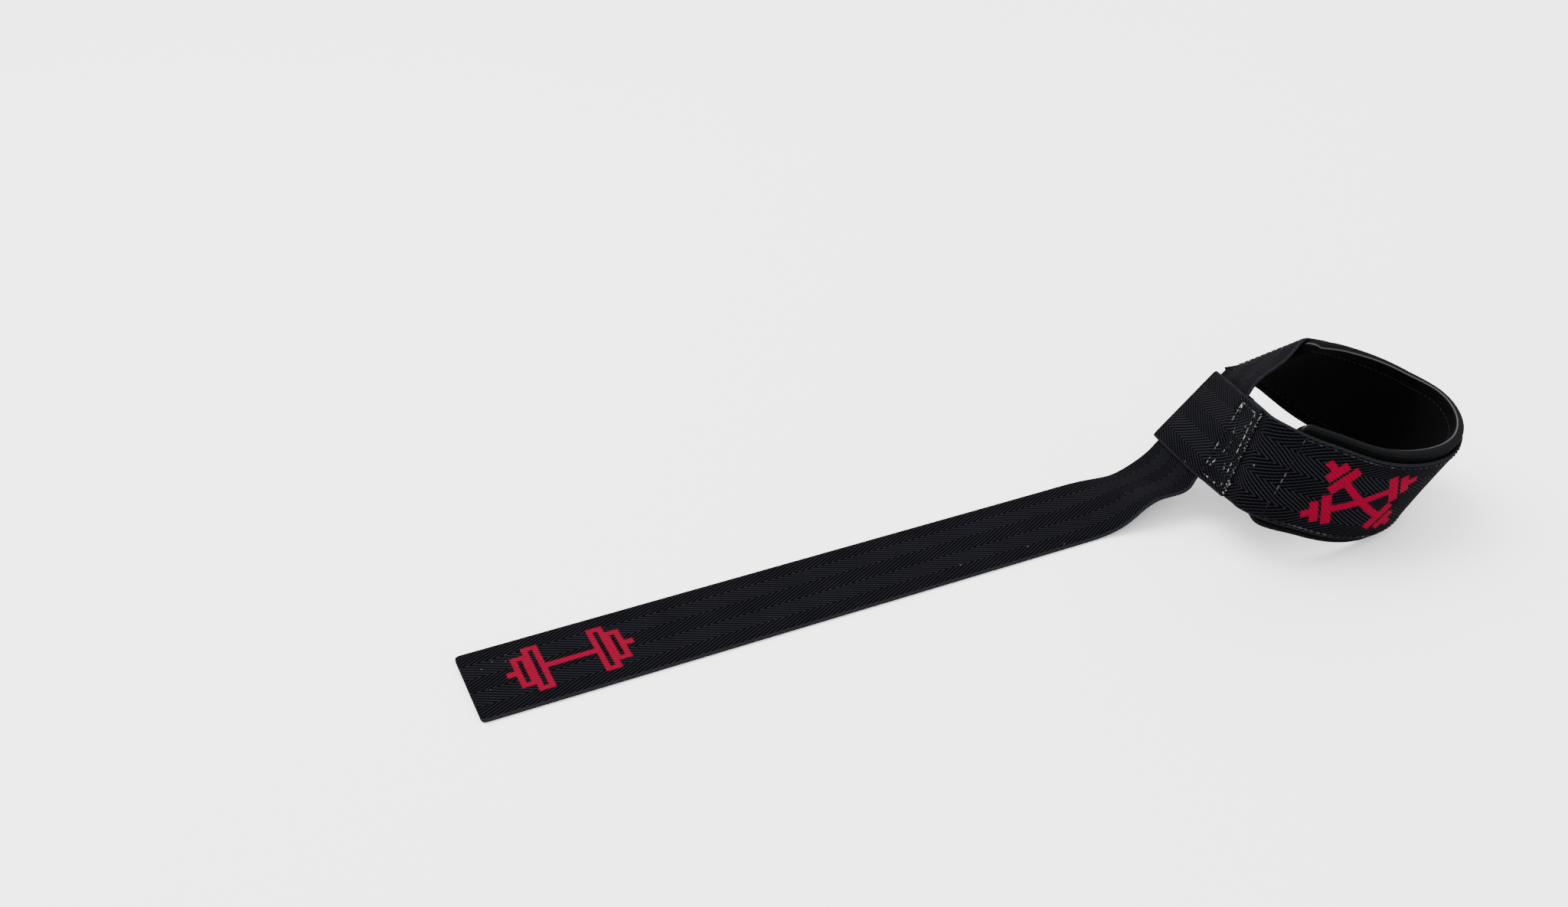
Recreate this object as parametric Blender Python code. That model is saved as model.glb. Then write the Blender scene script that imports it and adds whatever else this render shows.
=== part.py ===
"""Weightlifting strap: one webbing strip with a flat tail, a padded wrist cuff and a sewn keeper loop.

The strip starts at the square tail end, lies flat along +X, climbs through its own keeper loop, turns over
and runs round the wrist opening on edge, and ends folded back and sewn as the keeper. A separate neoprene
pad lines the wrist part. Metres, +Z up, with the origin under the middle of the whole strap.
"""
import math

import bmesh
import bpy
import numpy as np

# Webbing strip
WEBBING_WIDTH = 0.038
WEBBING_THICKNESS = 0.0016
TAIL_LENGTH = 0.250

# Climb from the floor to the middle of the keeper, measured from where the tail lifts off
CLIMB_RUN = 0.0663
CLIMB_HEIGHT = 0.0305
CLIMB_DRIFT = -0.0025

# Stations between the floor and the keeper: shares of the run, drift and height, then the lean of the
# strap's near edge from upright and the heading of that lean, in degrees from +X towards +Y
CLIMB_STATIONS = (
    # run, drift, height, lean, towards
    (0.32, 0.3, 0.075, 84, -94),
    (0.52, 0.6, 0.19, 74, -98),
)

# Pose of the strap inside the keeper
KEEPER_HEADING = math.radians(-1.0)
KEEPER_SLOPE = math.radians(52.0)
KEEPER_ROLL = math.radians(22.0)
KEEPER_TWIST = math.radians(14.0)

# Keeper loop
KEEPER_CLEARANCE = 0.0006
SEAM_GAP = 0.0003
SEAM_RUN_IN = 0.007
SEAM_LENGTH = 0.014
KEEPER_ROOT = 0.006
THROAT = 0.004

# Wrist opening, in plan and from the keeper's middle
CUFF_LENGTH = 0.086
CUFF_BREADTH = 0.065

# Wrist pad
PAD_OVERHANG = 0.0035
PAD_THICKNESS = 0.004
PAD_CLEARANCE = 0.0004
PAD_START = 0.015
PAD_BARE_END = 0.009
PAD_CORNER = 0.008
PAD_EDGE = 0.001

# Mesh steps
TAIL_ROWS = 12
CURVE_STEP = 0.005
COLUMNS = 6
FOLD_STEPS = 8

# Stations of the wrist part's centre line, from the keeper's exit round to its root.
# along: share of CUFF_LENGTH from the keeper's middle, +X
# aside: share of CUFF_BREADTH from the keeper's middle, +Y
# height: share of WEBBING_WIDTH above the floor
# lean: degrees that the strap's top edge leans from upright
# towards: heading of that lean, in degrees from +X towards +Y
CUFF_STATIONS = (
    # along, aside, height, lean, towards
    (0.26, 0.01, 1.41, 62, -104),
    (0.38, 0.06, 1.42, 48, -103),
    (0.52, 0.05, 1.29, 36, -92),
    (0.67, -0.04, 1.06, 29, -68),
    (0.82, -0.15, 0.85, 27, -52),
    (0.935, -0.27, 0.69, 26, -49),
    (0.99, -0.46, 0.59, 25, -48),
    (0.93, -0.71, 0.55, 26, -46),
    (0.74, -0.95, 0.54, 24, -44),
    (0.48, -1.055, 0.60, 19, -36),
    (0.21, -1.02, 0.75, 18, -18),
    (0.03, -0.93, 0.92, 19, -4),
    (-0.07, -0.84, 1.00, 21, 5),
)


def unit(vector):
    """Returns the vector at length one."""
    return vector / np.linalg.norm(vector)


def leaning(lean, towards):
    """Returns the direction of an edge that leans from upright towards a heading, both in degrees."""
    lean, towards = math.radians(lean), math.radians(towards)
    return np.array((math.sin(lean) * math.cos(towards), math.sin(lean) * math.sin(towards), math.cos(lean)))


def spline(points, start_slope, end_slope):
    """Returns a smooth curve through points, by length along their chords, with clamped ends.

    The curve is the piecewise cubic whose second derivative is continuous. The returned pair is a function
    of the chord length and the total chord length.
    """
    points = np.array(points, dtype=float)
    gaps = np.linalg.norm(np.diff(points[:, :3], axis=0), axis=1)
    knots = np.concatenate(([0.0], np.cumsum(gaps)))
    count = len(points)
    matrix = np.eye(count)
    right = np.zeros_like(points)
    right[0], right[-1] = start_slope, end_slope
    for i in range(1, count - 1):
        before, after = gaps[i - 1], gaps[i]
        matrix[i, i - 1:i + 2] = after, 2 * (before + after), before
        right[i] = 3 * (after * (points[i] - points[i - 1]) / before + before * (points[i + 1] - points[i]) / after)
    slopes = np.linalg.solve(matrix, right)

    def curve(distance):
        i = min(int(np.searchsorted(knots, distance, side="right")) - 1, count - 2)
        u = (distance - knots[i]) / gaps[i]
        start_pull = gaps[i] * slopes[i] * u * (1 - u) ** 2
        end_pull = gaps[i] * slopes[i + 1] * u ** 2 * (u - 1)
        blend = u * u * (3 - 2 * u)
        return points[i] * (1 - blend) + points[i + 1] * blend + start_pull + end_pull

    return curve, knots[-1]


class Keeper:
    """The twisted patch of space that the strap crosses inside its keeper.

    A place in it is (along, aside, out): along the strap's run, towards its near edge, and out of its face.
    """

    def __init__(self):
        self.middle = np.array((
            TAIL_LENGTH + CLIMB_RUN,
            CLIMB_DRIFT,
            WEBBING_THICKNESS / 2 + CLIMB_HEIGHT,
        ))
        flat = math.cos(KEEPER_SLOPE)
        self.along = np.array((
            flat * math.cos(KEEPER_HEADING),
            flat * math.sin(KEEPER_HEADING),
            math.sin(KEEPER_SLOPE),
        ))
        level = unit(np.cross(self.along, (0.0, 0.0, 1.0)))
        risen = np.cross(level, self.along)
        self.aside = math.cos(KEEPER_ROLL) * level + math.sin(KEEPER_ROLL) * risen
        self.out = np.cross(self.aside, self.along)
        self.twist = KEEPER_TWIST / WEBBING_WIDTH
        self.loop_offset = WEBBING_THICKNESS + KEEPER_CLEARANCE
        self.seam_offset = (WEBBING_THICKNESS + SEAM_GAP) / 2
        self.half_opening = WEBBING_WIDTH / 2 + KEEPER_CLEARANCE
        self.raw_end = self.half_opening + SEAM_RUN_IN + SEAM_LENGTH
        self.root = self.raw_end + KEEPER_ROOT

    def place(self, along, aside, out=0.0):
        """Returns the point of the patch at these coordinates."""
        normal = unit(self.out - self.twist * (aside * self.along + along * self.aside))
        bend = along * aside * self.twist
        return self.middle + along * self.along + aside * self.aside + bend * self.out + out * normal

    def strap_row(self, along):
        """Returns the strap's centre and across direction at a place along its run."""
        return np.concatenate((self.place(along, 0.0), unit(self.aside + along * self.twist * self.out)))

    def loop_row(self, aside, out):
        """Returns a keeper layer's centre and across direction at a place along the loop."""
        return np.concatenate((self.place(0.0, aside, out), unit(self.along + aside * self.twist * self.out)))

    def offset(self, aside):
        """Returns how far each layer lies from the strap's middle, closing up towards the seam."""
        share = min(max((aside - self.half_opening) / SEAM_RUN_IN, 0.0), 1.0)
        blend = share * share * (3 - 2 * share)
        return self.loop_offset * (1 - blend) + self.seam_offset * blend


def straight_rows():
    """Returns the rows of the flat tail, from its square end to where it lifts off."""
    rows = []
    for distance in np.linspace(0.0, TAIL_LENGTH, TAIL_ROWS, endpoint=False):
        rows.append(np.array((distance, 0.0, WEBBING_THICKNESS / 2, 0.0, -1.0, 0.0)))
    return rows


def curved_rows(stations, start_slope, end_slope, last=False):
    """Returns evenly stepped rows along a smooth curve through the stations."""
    curve, length = spline(stations, start_slope, end_slope)
    steps = math.ceil(length / CURVE_STEP)
    return [curve(length * i / steps) for i in range(steps + last)]


def climb_rows(keeper):
    """Returns the rows from the floor up to the keeper's throat."""
    reach = WEBBING_WIDTH / 2 + THROAT
    lift_off = np.array((TAIL_LENGTH, 0.0, WEBBING_THICKNESS / 2, 0.0, -1.0, 0.0))
    start_slope = np.array((1.0, 0.0, 0.0, 0.0, 0.0, 0.0))
    end_slope = np.concatenate((keeper.along, keeper.twist * keeper.out))
    stations = [lift_off]
    for run, drift, height, lean, towards in CLIMB_STATIONS:
        centre = lift_off[:3] + np.array((run * CLIMB_RUN, drift * CLIMB_DRIFT, height * CLIMB_HEIGHT))
        stations.append(np.concatenate((centre, leaning(lean, towards))))
    stations.append(keeper.strap_row(-reach))
    return curved_rows(stations, start_slope, end_slope)


def threaded_rows(keeper):
    """Returns the rows of the strap inside the keeper."""
    reach = WEBBING_WIDTH / 2 + THROAT
    steps = math.ceil(2 * reach / CURVE_STEP)
    return [keeper.strap_row(reach * (2 * i / steps - 1)) for i in range(steps)]


def cuff_rows(keeper):
    """Returns the rows of the wrist part, from the keeper's exit round to the keeper's root."""
    reach = WEBBING_WIDTH / 2 + THROAT
    stations = [keeper.strap_row(reach)]
    for along, aside, height, lean, towards in CUFF_STATIONS:
        centre = np.array((
            keeper.middle[0] + along * CUFF_LENGTH,
            keeper.middle[1] + aside * CUFF_BREADTH,
            height * WEBBING_WIDTH,
        ))
        stations.append(np.concatenate((centre, leaning(lean, towards))))
    stations.append(keeper.loop_row(keeper.root, -keeper.seam_offset))
    start_slope = np.concatenate((keeper.along, keeper.twist * keeper.out))
    end_slope = np.concatenate((-keeper.aside, -keeper.twist * keeper.out))
    return curved_rows(stations, start_slope, end_slope)


def loop_rows(keeper):
    """Returns the rows of the keeper: inner layer, fold at the far side, and outer layer to the raw end."""
    steps = math.ceil((keeper.raw_end + keeper.half_opening) / CURVE_STEP)
    places = np.linspace(-keeper.half_opening, keeper.raw_end, steps + 1)
    rows = [keeper.loop_row(keeper.root, -keeper.seam_offset)]
    for aside in places[::-1]:
        rows.append(keeper.loop_row(aside, -keeper.offset(aside)))
    for step in range(1, FOLD_STEPS):
        turn = math.pi * step / FOLD_STEPS
        aside = -keeper.half_opening - keeper.loop_offset * math.sin(turn)
        rows.append(keeper.loop_row(aside, -keeper.loop_offset * math.cos(turn)))
    for aside in places:
        rows.append(keeper.loop_row(aside, keeper.offset(aside)))
    return rows


def square_up(rows):
    """Returns centres, directions across and distances run, with each direction square to the run."""
    rows = np.array(rows)
    centres = rows[:, :3]
    runs = np.gradient(centres, axis=0)
    runs /= np.linalg.norm(runs, axis=1)[:, None]
    across = rows[:, 3:] - runs * np.sum(rows[:, 3:] * runs, axis=1)[:, None]
    across /= np.linalg.norm(across, axis=1)[:, None]
    distances = np.concatenate(([0.0], np.cumsum(np.linalg.norm(np.diff(centres, axis=0), axis=1))))
    return centres, across, distances


def finish(name, sheet, thickness, colour, roughness):
    """Makes a solid object of a sheet of faces and gives it its material."""
    mesh = bpy.data.meshes.new(name)
    sheet.to_mesh(mesh)
    sheet.free()
    mesh.shade_smooth()
    mesh.set_sharp_from_angle(angle=math.radians(40))
    material = bpy.data.materials.new(name + "_material")
    material.use_nodes = True
    shader = material.node_tree.nodes["Principled BSDF"]
    shader.inputs["Base Color"].default_value = (*colour, 1.0)
    shader.inputs["Roughness"].default_value = roughness
    shader.inputs["Metallic"].default_value = 0.0
    mesh.materials.append(material)
    solid = bpy.data.objects.new(name, mesh)
    bpy.context.collection.objects.link(solid)
    wall = solid.modifiers.new("Wall", "SOLIDIFY")
    wall.thickness = thickness
    wall.offset = 0.0
    wall.use_even_offset = True
    wall.use_rim = True
    return solid


def lay_sheet(centres, across, half_widths):
    """Returns a grid of faces: a row of points across each centre, as wide as its half width says."""
    sheet = bmesh.new()
    rows = []
    for centre, direction, half_width in zip(centres, across, half_widths):
        row = []
        for column in range(COLUMNS + 1):
            share = 2 * column / COLUMNS - 1
            row.append(sheet.verts.new(centre + share * half_width * direction))
        rows.append(row)
    for row, after in zip(rows, rows[1:]):
        for column in range(COLUMNS):
            sheet.faces.new((row[column], row[column + 1], after[column + 1], after[column]))
    return sheet


def make_webbing(keeper):
    """Makes the whole strip, tail to raw end, and returns it with the wrist part's rows."""
    cuff = cuff_rows(keeper)
    rows = straight_rows() + climb_rows(keeper) + threaded_rows(keeper) + cuff + loop_rows(keeper)
    centres, across, _ = square_up(rows)
    sheet = lay_sheet(centres, across, [WEBBING_WIDTH / 2] * len(centres))
    return finish("webbing_strap", sheet, WEBBING_THICKNESS, (0.012, 0.012, 0.016), 0.85), cuff


def make_pad(cuff):
    """Makes the pad inside the wrist part, with rounded corners at both ends."""
    centres, across, distances = square_up(cuff)
    runs = np.gradient(centres, axis=0)
    runs /= np.linalg.norm(runs, axis=1)[:, None]
    inward = np.cross(runs, across)
    offset = WEBBING_THICKNESS / 2 + PAD_CLEARANCE + PAD_THICKNESS / 2
    lined = np.concatenate((centres + offset * inward, across), axis=1)
    end = distances[-1] - PAD_BARE_END
    corner_steps = (0.0, 0.05, 0.2, 0.45, 1.0)
    near = [PAD_START + PAD_CORNER * share for share in corner_steps]
    far = [end - PAD_CORNER * share for share in reversed(corner_steps)]
    middle = [distance for distance in distances if near[-1] < distance < far[0]]
    places = np.concatenate((near, middle, far))
    rows = np.array([[np.interp(place, distances, column) for column in lined.T] for place in places])
    half_widths = []
    for place in places:
        from_end = min(place - PAD_START, end - place, PAD_CORNER)
        rounding = PAD_CORNER - math.sqrt(PAD_CORNER ** 2 - (PAD_CORNER - from_end) ** 2)
        half_widths.append(WEBBING_WIDTH / 2 + PAD_OVERHANG - rounding)
    sheet = lay_sheet(rows[:, :3], rows[:, 3:], half_widths)
    pad = finish("wrist_pad", sheet, PAD_THICKNESS, (0.006, 0.006, 0.007), 0.9)
    edge = pad.modifiers.new("Edge", "BEVEL")
    edge.width = PAD_EDGE
    edge.segments = 1
    edge.limit_method = "ANGLE"
    edge.angle_limit = math.radians(60)
    return pad


def stand_on_origin(solids):
    """Moves the solids together so that the origin lies under the middle of their common box."""
    bpy.context.view_layer.update()
    graph = bpy.context.evaluated_depsgraph_get()
    corners = []
    for solid in solids:
        mesh = solid.evaluated_get(graph).to_mesh()
        corners.extend(vertex.co[:] for vertex in mesh.vertices)
    low, high = np.min(corners, axis=0), np.max(corners, axis=0)
    for solid in solids:
        solid.location = (-(low[0] + high[0]) / 2, -(low[1] + high[1]) / 2, -low[2])


def main():
    """Builds the strap."""
    for leftover in list(bpy.data.objects):
        bpy.data.objects.remove(leftover, do_unlink=True)
    keeper = Keeper()
    webbing, cuff = make_webbing(keeper)
    pad = make_pad(cuff)
    stand_on_origin((webbing, pad))


main()
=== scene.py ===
"""Looks of a padded weightlifting strap that lies on its side with its tail threaded through its own keeper.

The strap's path is worked out here from the same named sizes as its solids, then dressed as woven webbing,
a sewn foam pad, thread and a red print. Lengths are in metres, and distances named "run" are measured along
the webbing from the square end of its tail.
"""

import logging
import math
import random
from dataclasses import dataclass, field
from enum import Enum

import bpy
import numpy as np
from mathutils import Matrix, Vector


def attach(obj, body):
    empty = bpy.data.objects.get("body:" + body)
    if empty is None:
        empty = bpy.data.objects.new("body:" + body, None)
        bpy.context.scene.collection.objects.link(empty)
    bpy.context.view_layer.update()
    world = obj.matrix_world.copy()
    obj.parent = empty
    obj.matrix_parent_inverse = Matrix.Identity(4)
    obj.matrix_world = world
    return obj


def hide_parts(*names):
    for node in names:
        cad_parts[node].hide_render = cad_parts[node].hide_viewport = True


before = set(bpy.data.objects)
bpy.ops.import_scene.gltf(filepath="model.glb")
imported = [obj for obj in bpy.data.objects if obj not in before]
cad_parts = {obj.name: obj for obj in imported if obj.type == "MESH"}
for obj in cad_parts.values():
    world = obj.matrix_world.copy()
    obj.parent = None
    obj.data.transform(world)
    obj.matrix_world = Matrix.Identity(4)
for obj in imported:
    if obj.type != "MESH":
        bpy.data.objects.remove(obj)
LOG = logging.getLogger("strap")
STRIP_MAP = "Strip"
BACK_FACE_SHIFT = 1.0

Row = np.ndarray
Station = tuple[float, float, float, float, float]
Triple = tuple[float, float, float]
Place = tuple[float, float]
# A noise's cells for each metre, and how many finer layers it has.
Grain = tuple[float, float]
# The factor on a pattern, and what is added to it.
Shade = tuple[float, float]
Socket = bpy.types.NodeSocket
Material = bpy.types.Material
Piece = bpy.types.Object


class Face(Enum):
    """The two faces of the webbing: the printed one and the one that the pad lies on."""

    OUTER = 1.0
    INNER = -1.0


def unit(vector: np.ndarray) -> np.ndarray:
    """Returns the vector at length one."""
    return vector / np.linalg.norm(vector)


def leaning(lean: float, towards: float) -> np.ndarray:
    """Gives the direction of an edge that leans from upright.

    Args:
        lean: Degrees from upright.
        towards: Heading of the lean, in degrees from +X towards +Y.

    Returns:
        The unit vector along the edge.
    """
    lean, towards = math.radians(lean), math.radians(towards)
    flat = math.sin(lean)
    return np.array((flat * math.cos(towards), flat * math.sin(towards), math.cos(lean)))


def smooth_step(share: float) -> float:
    """Returns a share from 0 to 1 eased at both ends."""
    share = min(max(share, 0.0), 1.0)
    return share * share * (3 - 2 * share)


def corner_cut(from_end: float, radius: float) -> float:
    """Returns how far a rounded corner draws a side in, at this distance from the end."""
    left = radius - min(from_end, radius)
    return radius - math.sqrt(radius ** 2 - left ** 2)


class Spline:
    """The smooth curve of continuous curvature through a few stations, with clamped ends."""

    def __init__(self, points: list[Row], start_slope: Row, end_slope: Row) -> None:
        """Solves the curve's slope at each station.

        Args:
            points: Rows of centre and across direction.
            start_slope: Change of a row for each metre at the first station.
            end_slope: The same at the last station.
        """
        self.points = np.array(points, dtype=float)
        self.gaps = np.linalg.norm(np.diff(self.points[:, :3], axis=0), axis=1)
        self.knots = np.concatenate(([0.0], np.cumsum(self.gaps)))
        self.length = float(self.knots[-1])
        count = len(self.points)
        matrix = np.eye(count)
        right = np.zeros_like(self.points)
        right[0], right[-1] = start_slope, end_slope
        for i in range(1, count - 1):
            before, after = self.gaps[i - 1], self.gaps[i]
            matrix[i, i - 1:i + 2] = after, 2 * (before + after), before
            into = (self.points[i] - self.points[i - 1]) / before
            out_of = (self.points[i + 1] - self.points[i]) / after
            right[i] = 3 * (after * into + before * out_of)
        self.slopes = np.linalg.solve(matrix, right)

    def at(self, distance: float) -> Row:
        """Returns the row at a distance along the chords."""
        i = min(int(np.searchsorted(self.knots, distance, side="right")) - 1, len(self.points) - 2)
        gap = self.gaps[i]
        share = (distance - self.knots[i]) / gap
        blend = smooth_step(share)
        pull = self.slopes[i] * share * (1 - share) ** 2 + self.slopes[i + 1] * share ** 2 * (share - 1)
        return self.points[i] * (1 - blend) + self.points[i + 1] * blend + gap * pull

    def rows(self, step: float) -> list[Row]:
        """Returns even rows about this step apart, without the last station's own."""
        steps = math.ceil(self.length / step)
        return [self.at(self.length * i / steps) for i in range(steps)]


@dataclass
class Keeper:
    """The twisted patch of space that the strap crosses inside its keeper, and the layers around it."""

    tail_length: float = 0.250
    climb_run: float = 0.0663
    climb_height: float = 0.0305
    climb_drift: float = -0.0025
    heading: float = math.radians(-1.0)
    slope: float = math.radians(52.0)
    roll: float = math.radians(22.0)
    twist: float = math.radians(14.0)
    width: float = 0.038
    thickness: float = 0.0016
    clearance: float = 0.0006
    seam_gap: float = 0.0003
    seam_run_in: float = 0.007
    seam_length: float = 0.014
    root_length: float = 0.006
    throat: float = 0.004
    climb_stations: tuple[Station, ...] = (
        (0.32, 0.3, 0.075, 84, -94),
        (0.52, 0.6, 0.19, 74, -98),
    )

    def __post_init__(self) -> None:
        """Works out the patch's middle and its three directions."""
        rise = self.thickness / 2 + self.climb_height
        self.middle = np.array((self.tail_length + self.climb_run, self.climb_drift, rise))
        flat = math.cos(self.slope)
        heading = (flat * math.cos(self.heading), flat * math.sin(self.heading))
        self.along = np.array((*heading, math.sin(self.slope)))
        level = unit(np.cross(self.along, (0.0, 0.0, 1.0)))
        risen = np.cross(level, self.along)
        self.aside = math.cos(self.roll) * level + math.sin(self.roll) * risen
        self.out = np.cross(self.aside, self.along)
        self.turning = self.twist / self.width
        self.loop_offset = self.thickness + self.clearance
        self.seam_offset = (self.thickness + self.seam_gap) / 2
        self.half_opening = self.width / 2 + self.clearance
        self.raw_end = self.half_opening + self.seam_run_in + self.seam_length
        self.root = self.raw_end + self.root_length
        self.reach = self.width / 2 + self.throat

    def place(self, along: float, aside: float, out: float = 0.0) -> np.ndarray:
        """Returns the point of the patch at these coordinates."""
        normal = unit(self.out - self.turning * (aside * self.along + along * self.aside))
        bend = along * aside * self.turning
        return self.middle + along * self.along + aside * self.aside + bend * self.out + out * normal

    def strap_row(self, along: float) -> Row:
        """Returns the strap's centre and across direction at a place along its run."""
        across = unit(self.aside + along * self.turning * self.out)
        return np.concatenate((self.place(along, 0.0), across))

    def loop_row(self, aside: float, out: float) -> Row:
        """Returns a keeper layer's centre and across direction at a place along the loop."""
        across = unit(self.along + aside * self.turning * self.out)
        return np.concatenate((self.place(0.0, aside, out), across))

    def offset(self, aside: float) -> float:
        """Returns how far each layer lies from the strap's middle, closing up towards the seam."""
        blend = smooth_step((aside - self.half_opening) / self.seam_run_in)
        return self.loop_offset * (1 - blend) + self.seam_offset * blend


@dataclass
class StrapPath:
    """The whole strip's path in the part's own frame: tail, climb, keeper, wrist part and the folded loop."""

    tail_end: Vector
    keeper: Keeper = field(default_factory=Keeper)
    cuff_length: float = 0.086
    cuff_breadth: float = 0.065
    curve_step: float = 0.0016
    tail_step: float = 0.005
    corner_places: tuple[float, ...] = (0.0, 0.0002, 0.0006, 0.0012, 0.0020)
    fold_steps: int = 14
    cuff_stations: tuple[Station, ...] = (
        (0.26, 0.01, 1.41, 62, -104),
        (0.38, 0.06, 1.42, 48, -103),
        (0.52, 0.05, 1.29, 36, -92),
        (0.67, -0.04, 1.06, 29, -68),
        (0.82, -0.15, 0.85, 27, -52),
        (0.935, -0.27, 0.69, 26, -49),
        (0.99, -0.46, 0.59, 25, -48),
        (0.93, -0.71, 0.55, 26, -46),
        (0.74, -0.95, 0.54, 24, -44),
        (0.48, -1.055, 0.60, 19, -36),
        (0.21, -1.02, 0.75, 18, -18),
        (0.03, -0.93, 0.92, 19, -4),
        (-0.07, -0.84, 1.00, 21, 5),
    )

    def __post_init__(self) -> None:
        """Lays out the rows of every stretch and keeps where the wrist part starts and ends."""
        tail, climb, threaded = self.tail_rows(), self.climb_rows(), self.threaded_rows()
        cuff, loop = self.cuff_rows(), self.loop_rows()
        rows = np.array(tail + climb + threaded + cuff + loop)
        self.centres = rows[:, :3] + np.array(self.tail_end)
        runs = np.gradient(self.centres, axis=0)
        self.runs = runs / np.linalg.norm(runs, axis=1)[:, None]
        across = rows[:, 3:] - self.runs * np.sum(rows[:, 3:] * self.runs, axis=1)[:, None]
        self.across = across / np.linalg.norm(across, axis=1)[:, None]
        steps = np.linalg.norm(np.diff(self.centres, axis=0), axis=1)
        self.distances = np.concatenate(([0.0], np.cumsum(steps)))
        first = len(tail) + len(climb) + len(threaded)
        self.cuff_start = float(self.distances[first])
        self.cuff_end = float(self.distances[first + len(cuff)])
        self.length = float(self.distances[-1])
        self.table = np.concatenate((self.centres, self.across, self.runs), axis=1)

    def tail_rows(self) -> list[Row]:
        """Returns the rows of the flat tail."""
        keeper = self.keeper
        steps = round(keeper.tail_length / self.tail_step)
        even = [keeper.tail_length * i / steps for i in range(1, steps)]
        height = keeper.thickness / 2
        return [np.array((run, 0.0, height, 0.0, -1.0, 0.0)) for run in (*self.corner_places, *even)]

    def climb_rows(self) -> list[Row]:
        """Returns the rows from the surface up to the keeper."""
        keeper = self.keeper
        start = np.array((keeper.tail_length, 0.0, keeper.thickness / 2, 0.0, -1.0, 0.0))
        stations = [start]
        for run, drift, height, lean, towards in keeper.climb_stations:
            sizes = np.array((keeper.climb_run, keeper.climb_drift, keeper.climb_height))
            rise = sizes * (run, drift, height)
            stations.append(np.concatenate((start[:3] + rise, leaning(lean, towards))))
        stations.append(keeper.strap_row(-keeper.reach))
        start_slope = np.array((1.0, 0.0, 0.0, 0.0, 0.0, 0.0))
        end_slope = np.concatenate((keeper.along, keeper.turning * keeper.out))
        return Spline(stations, start_slope, end_slope).rows(self.curve_step)

    def threaded_rows(self) -> list[Row]:
        """Returns the rows inside the keeper."""
        reach = self.keeper.reach
        steps = math.ceil(2 * reach / self.curve_step)
        return [self.keeper.strap_row(reach * (2 * i / steps - 1)) for i in range(steps)]

    def cuff_rows(self) -> list[Row]:
        """Returns the rows of the wrist part, from the keeper's exit round to its root."""
        keeper = self.keeper
        stations = [keeper.strap_row(keeper.reach)]
        for along, aside, height, lean, towards in self.cuff_stations:
            centre = np.array((
                keeper.middle[0] + along * self.cuff_length,
                keeper.middle[1] + aside * self.cuff_breadth,
                height * keeper.width,
            ))
            stations.append(np.concatenate((centre, leaning(lean, towards))))
        stations.append(keeper.loop_row(keeper.root, -keeper.seam_offset))
        start_slope = np.concatenate((keeper.along, keeper.turning * keeper.out))
        end_slope = np.concatenate((-keeper.aside, -keeper.turning * keeper.out))
        return Spline(stations, start_slope, end_slope).rows(self.curve_step)

    def loop_rows(self) -> list[Row]:
        """Returns the rows of the keeper's inner layer, its fold, and its outer layer to the raw end."""
        keeper = self.keeper
        steps = math.ceil((keeper.raw_end + keeper.half_opening) / self.curve_step)
        places = np.linspace(-keeper.half_opening, keeper.raw_end, steps + 1)
        root_steps = math.ceil(keeper.root_length / self.curve_step)
        root = [keeper.root - keeper.root_length * i / root_steps for i in range(root_steps)]
        rows = [keeper.loop_row(aside, -keeper.offset(aside)) for aside in (*root, *places[::-1])]
        for step in range(1, self.fold_steps):
            turn = math.pi * step / self.fold_steps
            aside = -keeper.half_opening - keeper.loop_offset * math.sin(turn)
            rows.append(keeper.loop_row(aside, -keeper.loop_offset * math.cos(turn)))
        return rows + [keeper.loop_row(aside, keeper.offset(aside)) for aside in places]

    def row_at(self, run: float) -> tuple[np.ndarray, np.ndarray, np.ndarray, np.ndarray]:
        """Gives the strip's own directions at a distance along it.

        Args:
            run: Distance from the tail's end.

        Returns:
            The centre, and the unit vectors across, along the run and out of the outer face.
        """
        values = np.array([np.interp(run, self.distances, column) for column in self.table.T])
        across, along = unit(values[3:6]), unit(values[6:9])
        return values[:3], across, along, unit(np.cross(across, along))

    def frame_at(self, run: float, across: float, out: float) -> Matrix:
        """Gives the frame of a small piece that lies on the strip.

        Args:
            run: Distance from the tail's end.
            across: Distance from the centre line.
            out: Distance from the webbing's middle, towards the outer face.

        Returns:
            A matrix whose X runs along the strip, Y across it and Z out of it.
        """
        centre, side, along, outward = self.row_at(run)
        x = Vector(along).normalized()
        z = x.cross(Vector(side)).normalized()
        turned = Matrix((x, z.cross(x), z)).transposed().to_4x4()
        turned.translation = Vector(centre + across * side + out * outward)
        return turned


def solid_tail_end(node: Piece, end_depth: float = 0.0005) -> Vector:
    """Gives where the tail's end lies in the part's frame.

    Args:
        node: The webbing's solid.
        end_depth: How near its lowest X a corner of it counts as the end.

    Returns:
        The middle of the end's lower edge.
    """
    corners = np.array([vertex.co[:] for vertex in node.data.vertices])
    low = corners[:, 0].min()
    end = corners[corners[:, 0] < low + end_depth]
    return Vector((low, (end[:, 1].min() + end[:, 1].max()) / 2, end[:, 2].min()))


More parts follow.
